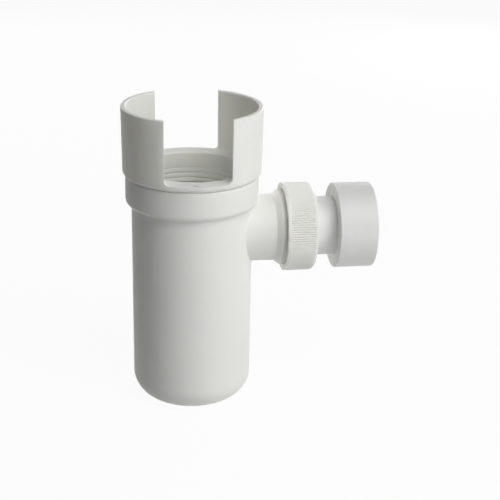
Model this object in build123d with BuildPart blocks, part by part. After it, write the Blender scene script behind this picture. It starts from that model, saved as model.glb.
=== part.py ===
"""A tundish on a bottle trap: an open cup with two windows, a water-sealed bottle and a side outlet.

Millimetres, +Z up. The bottle's axis is Z, its base stands on z = 0, the outlet runs along +X
and the cup's windows face -Y and +Y.
"""

import os

from build123d import *

os.makedirs("parts", exist_ok=True)

# Bottle and collar
bottle_radius = 26.5
bottle_wall = 2.0
base_thickness = 2.4
base_round = 11.0
collar_bottom = 91.4
collar_height = 13.0
collar_step = 2.6
collar_ledge = 0.2
collar_wall = 2.55
collar_rim_round = 0.8
seat_thickness = 2.4

# Outlet spigot, its stop flange, the relief groove behind it and the core of its thread
outlet_drop = 13.1
spigot_length = 9.4
spigot_relief = 0.7
spigot_wall = 2.4
flange_flare = 2.2
flange_width = 0.6
flange_round = 0.25
thread_crest = 16.6
thread_depth = 1.1
thread_pitch = 2.309
thread_turns = 3
relief_depth = 0.45
relief_width = 1.2
runout_reach = 0.6
spigot_chamfer = 0.8

# Cup
cup_height = 30.2
cup_overhang = 1.1
cup_flare = 0.4
cup_wall = 2.2
cup_foot_round = 2.2
cup_rim_round = 0.5
floor_thickness = 2.8
floor_corner_round = 1.2
cup_neck_wall = 1.65
inlet_edge_round = 0.5
window_width = 28.6
window_corner = 2.0
skirt_length = 9.0
skirt_clearance = 0.1
neck_length = 9.4
neck_clearance = 0.35
gate_mark_radius = 1.3
gate_mark_depth = 1.8
gate_mark_offset = 5.4
gate_mark_side = 1.9

# Seal ring round the cup's skirt
seal_section = 2.4
seal_squeeze_gap = 0.05
seal_below_collar = 5.2
groove_slack = 0.3

# Dip tube
dip_head_length = 7.2
dip_head_clearance = 0.9
dip_head_wall = 2.0
dip_flange_thickness = 1.6
dip_funnel_length = 8.0
dip_radius = 15.5
dip_wall = 1.9
dip_foot_gap = 13.6

# Union: gasket, nut and outlet socket
gasket_thickness = 1.8
tail_collar_thickness = 2.2
tail_collar_clearance = 0.6
nut_wall = 2.7
nut_gap = 1.5
nut_plain_rim = 1.2
nut_lip_thickness = 2.6
nut_shoulder_round = 2.5
nut_thread_clearance = 0.3
nut_neck_clearance = 0.35
nut_mouth_chamfer = 0.2
rib_count = 120
rib_depth = 0.6
neck_radius = 13.1
neck_wall = 2.1
neck_visible_length = 9.46
socket_bore = 16.1
socket_wall = 2.9
socket_length = 17.0
socket_depth = 15.0
socket_edge_round = 0.4

# Levels and radii that follow from the sizes above
bottle_inside = bottle_radius - bottle_wall
collar_top = collar_bottom + collar_height
collar_radius = bottle_radius + collar_step
collar_round = collar_step - collar_ledge
collar_inside = collar_radius - collar_wall
seat_level = collar_bottom + seat_thickness
cup_top = collar_top + cup_height
floor_level = collar_top + floor_thickness
cup_foot_radius = collar_radius + cup_overhang
cup_top_radius = cup_foot_radius + cup_flare
cup_foot_inside = cup_foot_radius - cup_wall
cup_top_inside = cup_top_radius - cup_wall
skirt_radius = collar_inside - skirt_clearance
skirt_bottom = collar_top - skirt_length
cup_neck_radius = bottle_inside - neck_clearance
cup_neck_bottom = skirt_bottom - neck_length
inlet_bore = cup_neck_radius - cup_neck_wall
gate_mark_distance = inlet_bore + gate_mark_offset
seal_level = collar_top - seal_below_collar
seal_outer = collar_inside - seal_squeeze_gap
seal_centre = seal_outer - seal_section / 2
groove_floor = seal_outer - seal_section - seal_squeeze_gap
groove_height = seal_section + 2 * groove_slack
dip_head_radius = inlet_bore - dip_head_clearance
dip_head_top = cup_neck_bottom + dip_head_length
dip_flange_bottom = cup_neck_bottom - dip_flange_thickness
dip_funnel_bottom = dip_flange_bottom - dip_funnel_length
dip_bottom = base_thickness + dip_foot_gap
outlet_height = collar_bottom - outlet_drop
thread_core = thread_crest - thread_depth
spigot_radius = thread_core - spigot_relief
spigot_bore = spigot_radius - spigot_wall
flange_start = bottle_radius + spigot_length
flange_face = flange_start + flange_flare
flange_end = flange_face + flange_width
nut_front = flange_end + nut_gap
relief_radius = thread_crest - relief_depth
relief_end = flange_end + relief_width
runout_end = nut_front + runout_reach
spigot_end = nut_front + thread_turns * thread_pitch
gasket_end = spigot_end + gasket_thickness
nut_lip = gasket_end + tail_collar_thickness
nut_end = nut_lip + nut_lip_thickness
nut_bore = thread_crest + nut_thread_clearance
nut_radius = nut_bore + nut_wall
neck_bore = neck_radius - neck_wall
socket_radius = socket_bore + socket_wall
socket_start = nut_end + neck_visible_length
socket_end = socket_start + socket_length
outlet_axis = Axis((0, 0, outlet_height), (1, 0, 0))


def corner(sketch, across, along):
    """The sketch's vertex nearest to a point given in the sketch's own axes."""
    return sketch.vertices().sort_by_distance((across, along, 0))[0]


# The bottle, its collar and its side spigot are one moulding. The collar is a socket for the cup.
with BuildPart() as trap_body:
    with BuildSketch(Plane.XZ) as bottle_outline:
        with BuildLine():
            Polyline(
                (0, 0),
                (bottle_radius, 0),
                (bottle_radius, collar_bottom),
                (collar_radius, collar_bottom),
                (collar_radius, collar_top),
                (0, collar_top),
                close=True,
            )
        make_face()
        fillet(corner(bottle_outline, bottle_radius, 0), base_round)
        fillet(corner(bottle_outline, collar_radius, collar_bottom), collar_round)
        fillet(corner(bottle_outline, collar_radius, collar_top), collar_rim_round)
    revolve(axis=Axis.Z)

    with BuildSketch(Plane.XZ) as spigot_outline:
        with BuildLine():
            Polyline(
                (0, outlet_height),
                (spigot_end, outlet_height),
                (spigot_end, outlet_height + thread_core),
                (runout_end, outlet_height + thread_core),
                (runout_end, outlet_height + thread_crest),
                (relief_end, outlet_height + thread_crest),
                (relief_end, outlet_height + relief_radius),
                (flange_end, outlet_height + relief_radius),
                (flange_end, outlet_height + thread_crest),
                (flange_face, outlet_height + thread_crest),
                (flange_start, outlet_height + spigot_radius),
                (0, outlet_height + spigot_radius),
                close=True,
            )
        make_face()
        fillet(corner(spigot_outline, flange_face, outlet_height + thread_crest), flange_round)
        chamfer(corner(spigot_outline, spigot_end, outlet_height + thread_core), spigot_chamfer)
    revolve(axis=outlet_axis)

    with BuildSketch(Plane.XZ) as bottle_inside_outline:
        with BuildLine():
            Polyline(
                (0, base_thickness),
                (bottle_inside, base_thickness),
                (bottle_inside, seat_level),
                (collar_inside, seat_level),
                (collar_inside, collar_top),
                (0, collar_top),
                close=True,
            )
        make_face()
        fillet(corner(bottle_inside_outline, bottle_inside, base_thickness), base_round - bottle_wall)
    revolve(axis=Axis.Z, mode=Mode.SUBTRACT)

    with BuildSketch(Plane.YZ):
        with Locations((0, outlet_height)):
            Circle(spigot_bore)
    extrude(amount=spigot_end, mode=Mode.SUBTRACT)
trap_body.part.label = "trap_body"
export_step(trap_body.part, "parts/trap_body.step")

# The cup: a thin conical wall with two windows down to its floor, a skirt that pushes into the
# collar and a threaded neck below it. The thread's ridges are left off the plain bore.
with BuildPart() as funnel_cup:
    with BuildSketch(Plane.XZ) as cup_outline:
        with BuildLine():
            Polyline(
                (inlet_bore, floor_level),
                (cup_foot_inside, floor_level),
                (cup_top_inside, cup_top),
                (cup_top_radius, cup_top),
                (cup_foot_radius, collar_top),
                (skirt_radius, collar_top),
                (skirt_radius, skirt_bottom),
                (cup_neck_radius, skirt_bottom),
                (cup_neck_radius, cup_neck_bottom),
                (inlet_bore, cup_neck_bottom),
                close=True,
            )
        make_face()
        fillet(corner(cup_outline, cup_foot_radius, collar_top), cup_foot_round)
        fillet(corner(cup_outline, cup_foot_inside, floor_level), floor_corner_round)
        fillet(corner(cup_outline, inlet_bore, floor_level), inlet_edge_round)
        fillet(corner(cup_outline, cup_top_radius, cup_top), cup_rim_round)
        fillet(corner(cup_outline, cup_top_inside, cup_top), cup_rim_round)
    revolve(axis=Axis.Z)

    with BuildSketch(Plane.XZ) as window_outline:
        with Locations((0, floor_level)):
            Rectangle(window_width, cup_top, align=(Align.CENTER, Align.MIN))
        fillet(window_outline.vertices().group_by(Axis.Y)[0], window_corner)
    extrude(amount=cup_top_radius, both=True, mode=Mode.SUBTRACT)

    with BuildSketch(Plane.XZ):
        with Locations((groove_floor, seal_level)):
            Rectangle(cup_top_radius, groove_height, align=(Align.MIN, Align.CENTER))
    revolve(axis=Axis.Z, mode=Mode.SUBTRACT)

    with Locations((-gate_mark_side, -gate_mark_distance, floor_level)):
        Hole(gate_mark_radius, depth=gate_mark_depth)
funnel_cup.part.label = "funnel_cup"
export_step(funnel_cup.part, "parts/funnel_cup.step")

# A rubber ring in the skirt's groove seals the cup in the collar.
with BuildPart() as cup_seal:
    with BuildSketch(Plane.XZ):
        with Locations((seal_centre, seal_level)):
            Circle(seal_section / 2)
    revolve(axis=Axis.Z)
cup_seal.part.label = "cup_seal"
export_step(cup_seal.part, "parts/cup_seal.step")

# The dip tube screws up into the cup's neck and ends under water, below the outlet's bottom edge.
with BuildPart() as dip_tube:
    with BuildSketch(Plane.XZ):
        with BuildLine():
            Polyline(
                (dip_head_radius - dip_head_wall, dip_head_top),
                (dip_head_radius, dip_head_top),
                (dip_head_radius, cup_neck_bottom),
                (cup_neck_radius, cup_neck_bottom),
                (cup_neck_radius, dip_flange_bottom),
                (dip_radius, dip_funnel_bottom),
                (dip_radius, dip_bottom),
                (dip_radius - dip_wall, dip_bottom),
                (dip_radius - dip_wall, dip_funnel_bottom),
                (dip_head_radius - dip_head_wall, dip_flange_bottom),
                close=True,
            )
        make_face()
    revolve(axis=Axis.Z)
dip_tube.part.label = "dip_tube"
export_step(dip_tube.part, "parts/dip_tube.step")

# A flat rubber washer between the spigot's end and the outlet socket's collar
with BuildPart() as union_gasket:
    with BuildSketch(Plane.YZ.offset(spigot_end)):
        with Locations((0, outlet_height)):
            Circle(nut_bore - tail_collar_clearance)
            Circle(spigot_bore, mode=Mode.SUBTRACT)
    extrude(amount=gasket_thickness)
union_gasket.part.label = "union_gasket"
export_step(union_gasket.part, "parts/union_gasket.step")

# The union nut: a plain front rim, fine ribs along the grip that fade over a round shoulder, and
# a lip that draws the outlet socket's collar against the gasket.
with BuildPart() as union_nut:
    with BuildSketch(Plane.XZ) as nut_outline:
        with BuildLine():
            Polyline(
                (nut_front, outlet_height),
                (nut_end, outlet_height),
                (nut_end, outlet_height + nut_radius),
                (nut_front, outlet_height + nut_radius),
                close=True,
            )
        make_face()
        fillet(corner(nut_outline, nut_end, outlet_height + nut_radius), nut_shoulder_round)
    revolve(axis=outlet_axis)

    with BuildSketch(Plane.YZ.offset(nut_front + nut_plain_rim)):
        with Locations((0, outlet_height)):
            Circle(nut_radius + rib_depth)
            with BuildLine(mode=Mode.PRIVATE) as rib_line:
                half_turns = range(2 * rib_count)
                rib_angles = [step * 180 / rib_count for step in half_turns]
                rib_radii = [nut_radius - rib_depth * (step % 2) for step in half_turns]
                rib_points = [Vector(r, 0).rotate(Axis.Z, a) for r, a in zip(rib_radii, rib_angles)]
                Polyline(*rib_points, close=True)
            add(make_face(rib_line.line, mode=Mode.PRIVATE), mode=Mode.SUBTRACT)
    extrude(amount=nut_end - nut_front, mode=Mode.SUBTRACT)

    with BuildSketch(Plane.XZ) as nut_bore_outline:
        with BuildLine():
            Polyline(
                (nut_front, outlet_height),
                (nut_end, outlet_height),
                (nut_end, outlet_height + neck_radius + nut_neck_clearance),
                (nut_lip, outlet_height + neck_radius + nut_neck_clearance),
                (nut_lip, outlet_height + nut_bore),
                (nut_front + nut_mouth_chamfer, outlet_height + nut_bore),
                (nut_front, outlet_height + nut_bore + nut_mouth_chamfer),
                close=True,
            )
        make_face()
    revolve(axis=outlet_axis, mode=Mode.SUBTRACT)
union_nut.part.label = "union_nut"
export_step(union_nut.part, "parts/union_nut.step")

# The outlet socket: a collar inside the nut, a neck and a cemented socket for a waste pipe.
with BuildPart() as outlet_socket:
    with BuildSketch(Plane.XZ) as socket_outline:
        with BuildLine():
            Polyline(
                (gasket_end, outlet_height + neck_bore),
                (gasket_end, outlet_height + nut_bore - tail_collar_clearance),
                (nut_lip, outlet_height + nut_bore - tail_collar_clearance),
                (nut_lip, outlet_height + neck_radius),
                (socket_start, outlet_height + neck_radius),
                (socket_start, outlet_height + socket_radius),
                (socket_end, outlet_height + socket_radius),
                (socket_end, outlet_height + socket_bore),
                (socket_end - socket_depth, outlet_height + socket_bore),
                (socket_end - socket_depth, outlet_height + neck_bore),
                close=True,
            )
        make_face()
        fillet(corner(socket_outline, socket_start, outlet_height + socket_radius), socket_edge_round)
        fillet(corner(socket_outline, socket_end, outlet_height + socket_radius), socket_edge_round)
    revolve(axis=outlet_axis)
outlet_socket.part.label = "outlet_socket"
export_step(outlet_socket.part, "parts/outlet_socket.step")
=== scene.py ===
import math

import bmesh
import bpy
import numpy as np
from mathutils import Matrix, Vector


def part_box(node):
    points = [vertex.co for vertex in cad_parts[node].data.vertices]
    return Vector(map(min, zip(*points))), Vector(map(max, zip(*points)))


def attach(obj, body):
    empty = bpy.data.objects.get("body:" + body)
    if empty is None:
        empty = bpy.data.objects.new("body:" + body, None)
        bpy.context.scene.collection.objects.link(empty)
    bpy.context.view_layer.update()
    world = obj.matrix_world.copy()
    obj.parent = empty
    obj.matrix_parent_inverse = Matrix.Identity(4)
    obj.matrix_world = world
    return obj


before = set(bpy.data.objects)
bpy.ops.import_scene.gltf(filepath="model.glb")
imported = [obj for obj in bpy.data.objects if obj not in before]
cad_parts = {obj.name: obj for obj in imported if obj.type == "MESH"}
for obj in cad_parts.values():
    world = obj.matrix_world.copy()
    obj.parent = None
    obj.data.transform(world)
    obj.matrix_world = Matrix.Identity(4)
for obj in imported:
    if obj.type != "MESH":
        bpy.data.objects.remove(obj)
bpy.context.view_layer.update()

# Trap body: the bottle, its collar and its side spigot are one injection moulding in off-white
# polypropylene, with a satin skin that is very slightly uneven.
OFF_WHITE = (0.905, 0.905, 0.868)


def moulded_plastic(name, colour, roughness, mottle, milky):
    """Satin moulded plastic: a slow tint change of a few percent, uneven gloss and a fine skin bump.
    The milky share of the light goes into the plastic and comes out up to a few millimetres away."""
    material = bpy.data.materials.new(name)
    material.use_nodes = True
    nodes, links = material.node_tree.nodes, material.node_tree.links
    shader = nodes["Principled BSDF"]
    shader.inputs["Specular IOR Level"].default_value = 0.25
    shader.inputs["Subsurface Weight"].default_value = milky
    shader.inputs["Subsurface Radius"].default_value = (1.0, 0.95, 0.85)
    shader.inputs["Subsurface Scale"].default_value = 0.002
    place = nodes.new("ShaderNodeTexCoord")

    cloud = nodes.new("ShaderNodeTexNoise")
    cloud.inputs["Scale"].default_value = 45.0
    cloud.inputs["Detail"].default_value = 3.0
    links.new(place.outputs["Object"], cloud.inputs["Vector"])
    tint = nodes.new("ShaderNodeMix")
    tint.data_type = "RGBA"
    tint.inputs[6].default_value = tuple(c * (1.0 - mottle) for c in colour) + (1.0,)
    tint.inputs[7].default_value = tuple(c * (1.0 + mottle) for c in colour) + (1.0,)
    links.new(cloud.outputs["Fac"], tint.inputs["Factor"])
    links.new(tint.outputs[2], shader.inputs["Base Color"])

    gloss = nodes.new("ShaderNodeMapRange")
    gloss.inputs["To Min"].default_value = roughness - 0.05
    gloss.inputs["To Max"].default_value = roughness + 0.05
    links.new(cloud.outputs["Fac"], gloss.inputs["Value"])
    links.new(gloss.outputs["Result"], shader.inputs["Roughness"])

    skin = nodes.new("ShaderNodeTexNoise")
    skin.inputs["Scale"].default_value = 900.0
    skin.inputs["Detail"].default_value = 4.0
    links.new(place.outputs["Object"], skin.inputs["Vector"])
    bump = nodes.new("ShaderNodeBump")
    bump.inputs["Strength"].default_value = 0.12
    bump.inputs["Distance"].default_value = 0.0002
    links.new(skin.outputs["Fac"], bump.inputs["Height"])
    links.new(bump.outputs["Normal"], shader.inputs["Normal"])
    return material


def dress(node, material):
    """Gives a CAD node one material in all its slots."""
    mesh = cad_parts[node].data
    mesh.materials.clear()
    mesh.materials.append(material)


body_plastic = moulded_plastic("off_white_polypropylene", OFF_WHITE, 0.45, 0.012, 0.4)
dress("trap_body", body_plastic)

# Spigot thread: a moulded pipe thread of 11 turns an inch on the spigot's core, from behind its
# stop flange to its end. The union nut hides it until it is unscrewed.
PITCH = 0.0254 / 11
RIDGE_WIDTH = 0.0017
RIDGE_FULLNESS = 0.8
RIDGE_POINTS = 9
RIDGE_SINK = 0.0001
STATIONS_PER_TURN = 96
SPIGOT_CORE = 0.0155
SPIGOT_RIDGE = 0.00105
RUN_IN = 0.0016
RUN_OUT = 0.0008
nut_low, nut_high = (np.array(corner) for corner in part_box("union_nut"))
outlet_z = 0.5 * (nut_low[2] + nut_high[2])
spigot_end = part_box("trap_body")[1][0]


def helix_ridge(turns, radius, height, phase, width):
    """Axial travel and the two cross-axis places of a thread ridge, as stations by profile points.
    Angle = phase + 2 pi t and travel = pitch t. The profile is half a cosine wave to the power of
    its fullness, width wide and height tall (inward if negative), closed by one point sunk under
    the surface that carries it. It swells from nothing in the end thirds of a turn."""
    t = np.linspace(0.0, turns, int(STATIONS_PER_TURN * turns) + 1)[:, None]
    swell = np.clip(3.0 * np.minimum(t, turns - t), 0.0, 1.0)
    across = np.linspace(-0.5, 0.5, RIDGE_POINTS)
    bell = np.cos(np.pi * across) ** RIDGE_FULLNESS
    root = np.full_like(t, np.copysign(RIDGE_SINK, -height))
    rise = np.hstack([height * bell * swell, root])
    along = np.append(across, 0.0) * width
    angle = phase + 2.0 * np.pi * t
    return PITCH * t + along, (radius + rise) * np.cos(angle), (radius + rise) * np.sin(angle)


def swept_mesh(name, points):
    """A closed profile swept through stations: quads round and along, and one face at each end."""
    stations, sides, _ = points.shape
    index = np.arange(stations * sides).reshape(stations, sides)
    turned = np.roll(index, -1, axis=1)
    quads = np.stack([index[:-1], index[1:], turned[1:], turned[:-1]], axis=-1).reshape(-1, 4)
    ends = [index[0].tolist(), index[-1][::-1].tolist()]
    mesh = bpy.data.meshes.new(name)
    mesh.from_pydata(points.reshape(-1, 3).tolist(), [], quads.tolist() + ends)
    mesh.shade_smooth()
    piece = bpy.data.objects.new(name, mesh)
    bpy.context.collection.objects.link(piece)
    return piece


def outward(piece):
    """Turns a closed mesh's faces so that they point out."""
    work = bmesh.new()
    work.from_mesh(piece.data)
    bmesh.ops.recalc_face_normals(work, faces=work.faces)
    work.to_mesh(piece.data)
    work.free()


start = nut_low[0] + RUN_IN
turns = (spigot_end - RUN_OUT - start) / PITCH
travel, across, up = helix_ridge(turns, SPIGOT_CORE, SPIGOT_RIDGE, 0.0, RIDGE_WIDTH)
spigot_thread = swept_mesh("spigot_thread", np.stack([start + travel, across, outlet_z + up], axis=-1))
outward(spigot_thread)
spigot_thread.data.materials.append(body_plastic)
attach(spigot_thread, "trap")

# Cup: a thin moulded wall with two windows down to its floor, in the bottle's plastic, which lets
# more light through where it is thin. Its skirt pushes into the collar, where a rubber ring in
# the skirt's groove seals it.
cup_plastic = moulded_plastic("thin_off_white", OFF_WHITE, 0.45, 0.012, 0.8)
dress("funnel_cup", cup_plastic)

# Inlet thread: low ridges moulded inside the cup's neck, with the neck's own plastic. The dip tube
# screws into them from below.
INLET_RADIUS = 0.0225
INLET_RIDGE = -0.00014
INLET_RIDGE_WIDTH = 0.0022
INLET_TOP = 0.10005
INLET_TURNS = 5.0
INLET_PHASE = -0.5 * np.pi
travel, across, up = helix_ridge(
    INLET_TURNS, INLET_RADIUS, INLET_RIDGE, INLET_PHASE, INLET_RIDGE_WIDTH)
inlet_z = INLET_TOP - INLET_TURNS * PITCH + travel
inlet_thread = swept_mesh("inlet_thread", np.stack([across, up, inlet_z], axis=-1))
outward(inlet_thread)
dense_plastic = moulded_plastic("dense_off_white", OFF_WHITE, 0.45, 0.012, 0.0)
inlet_thread.data.materials.append(dense_plastic)
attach(inlet_thread, "cup")

# Dip tube: a moulded pipe with a funnel head, in the bottle's plastic. It hangs from the cup's neck
# and keeps its foot under water.
dress("dip_tube", body_plastic)

# Seal ring and gasket: dull white rubber. The ring sits in the groove of the cup's skirt, and the
# flat gasket is pressed between the spigot's end and the outlet socket's collar.
DULL_WHITE = (0.74, 0.73, 0.69)
rubber = moulded_plastic("white_rubber", DULL_WHITE, 0.72, 0.03, 0.0)
dress("cup_seal", rubber)
dress("union_gasket", rubber)

# Outlet socket: a hidden collar, a neck and a pipe socket in one moulding, in a cooler, greyer white.
# The nut draws its collar to the gasket, and the pipe is cemented into its mouth.
COOL_WHITE = (0.850, 0.850, 0.838)
dress("outlet_socket", moulded_plastic("cool_white_pvc", COOL_WHITE, 0.40, 0.010, 0.2))

# Union nut: one moulding, ribbed for the hand, that screws onto the spigot. It has the bottle's
# colour, but its plastic is denser and lets no light through, so that its ribs stay crisp.
dress("union_nut", dense_plastic)

# Nut thread: the ridges moulded inside the nut. They follow the spigot's half a turn behind, so
# that the two mesh.
NUT_ROOT = 0.0169
NUT_RIDGE = -0.0010
travel, across, up = helix_ridge(turns, NUT_ROOT, NUT_RIDGE, np.pi, RIDGE_WIDTH)
nut_thread = swept_mesh("nut_thread", np.stack([start + travel, across, outlet_z + up], axis=-1))
outward(nut_thread)
nut_thread.data.materials.append(dense_plastic)
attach(nut_thread, "nut")

# Floor: a plain sheet of white paper. To the camera it is nearly all its own white, with a trace
# of the part's shadow.
FLOOR_HALF = 4.0
PAPER_WHITE = (0.78, 0.78, 0.78, 1.0)
GLOW_SHARE = 0.95
floor_mesh = bpy.data.meshes.new("floor")
corners = [(-1, -1, 0), (1, -1, 0), (1, 1, 0), (-1, 1, 0)]
floor_mesh.from_pydata(corners, [], [(0, 1, 2, 3)])
floor_mesh.transform(Matrix.Scale(FLOOR_HALF, 4))
floor = bpy.data.objects.new("floor", floor_mesh)
bpy.context.collection.objects.link(floor)
paper = bpy.data.materials.new("white_paper")
paper.use_nodes = True
nodes, links = paper.node_tree.nodes, paper.node_tree.links
paper_shader = nodes["Principled BSDF"]
paper_shader.inputs["Base Color"].default_value = PAPER_WHITE
paper_shader.inputs["Roughness"].default_value = 0.9


def seen_directly(nodes, links):
    """A socket that is 1 for camera, mirror and clear rays, and 0 for the rays that light the part."""
    path = nodes.new("ShaderNodeLightPath")
    first, both = nodes.new("ShaderNodeMath"), nodes.new("ShaderNodeMath")
    first.operation = both.operation = "MAXIMUM"
    links.new(path.outputs["Is Camera Ray"], first.inputs[0])
    links.new(path.outputs["Is Glossy Ray"], first.inputs[1])
    links.new(first.outputs["Value"], both.inputs[0])
    links.new(path.outputs["Is Transmission Ray"], both.inputs[1])
    return both.outputs["Value"]


share = nodes.new("ShaderNodeMapRange")
share.inputs["To Max"].default_value = GLOW_SHARE
links.new(seen_directly(nodes, links), share.inputs["Value"])
glow = nodes.new("ShaderNodeEmission")
glow.inputs["Color"].default_value = (1.0, 1.0, 1.0, 1.0)
blend = nodes.new("ShaderNodeMixShader")
links.new(share.outputs["Result"], blend.inputs["Fac"])
links.new(paper_shader.outputs["BSDF"], blend.inputs[1])
links.new(glow.outputs["Emission"], blend.inputs[2])
links.new(blend.outputs["Shader"], nodes["Material Output"].inputs["Surface"])
floor_mesh.materials.append(paper)

# Studio light: a large soft box high at the front right, two weaker ones lower on that side, two
# small ones at the back, and a white room that is seen and mirrored but sheds no light.
MIDDLE = Vector((0.03, 0.0, 0.07))
world = bpy.data.worlds.new("white_room")
bpy.context.scene.world = world
world.use_nodes = True
nodes, links = world.node_tree.nodes, world.node_tree.links
room = nodes["Background"]
room.inputs["Color"].default_value = (1.0, 1.0, 1.0, 1.0)
links.new(seen_directly(nodes, links), room.inputs["Strength"])


def soft_box(name, azimuth, elevation, width, power):
    """A square area lamp a metre from the part's middle and turned to it. Azimuth 0 is the front."""
    lamp = bpy.data.lights.new(name, "AREA")
    lamp.size = width
    lamp.energy = power
    round_z, rise = math.radians(azimuth), math.radians(elevation)
    level = Vector((math.sin(round_z), -math.cos(round_z), 0.0))
    away = math.cos(rise) * level + math.sin(rise) * Vector((0.0, 0.0, 1.0))
    holder = bpy.data.objects.new(name, lamp)
    holder.location = MIDDLE + away
    holder.rotation_euler = (-away).to_track_quat("-Z", "Y").to_euler()
    bpy.context.collection.objects.link(holder)


soft_box("key", 30, 50, 0.6, 5.3)
soft_box("right", 60, 20, 0.6, 1.6)
soft_box("low_front", 38, 8, 0.3, 1.5)
soft_box("behind", 200, 12, 0.3, 1.5)
soft_box("behind_right", 150, 14, 0.3, 3.0)

# Camera: a little left of the front and above it, rolled about one degree, as in the photograph.
# Its place and its angle were fitted to the part's edges there.
ROLL = math.radians(1.14)
VIEW_ANGLE = math.radians(23.47)
eye = Vector((-0.04931, -0.49910, 0.25935))
aim = Vector((0.02610, 0.0, 0.06749))
back = (eye - aim).normalized()
level_side = Vector((0.0, 0.0, 1.0)).cross(back).normalized()
upright = back.cross(level_side)
side = math.cos(ROLL) * level_side + math.sin(ROLL) * upright
top = math.cos(ROLL) * upright - math.sin(ROLL) * level_side
camera = bpy.data.objects.new("camera", bpy.data.cameras.new("camera"))
camera.data.angle = VIEW_ANGLE
camera.data.clip_start = 0.01
turn = Matrix((side, top, back)).transposed()
camera.matrix_world = Matrix.Translation(eye) @ turn.to_4x4()
bpy.context.collection.objects.link(camera)
bpy.context.scene.camera = camera
bpy.context.scene.view_settings.view_transform = "Standard"
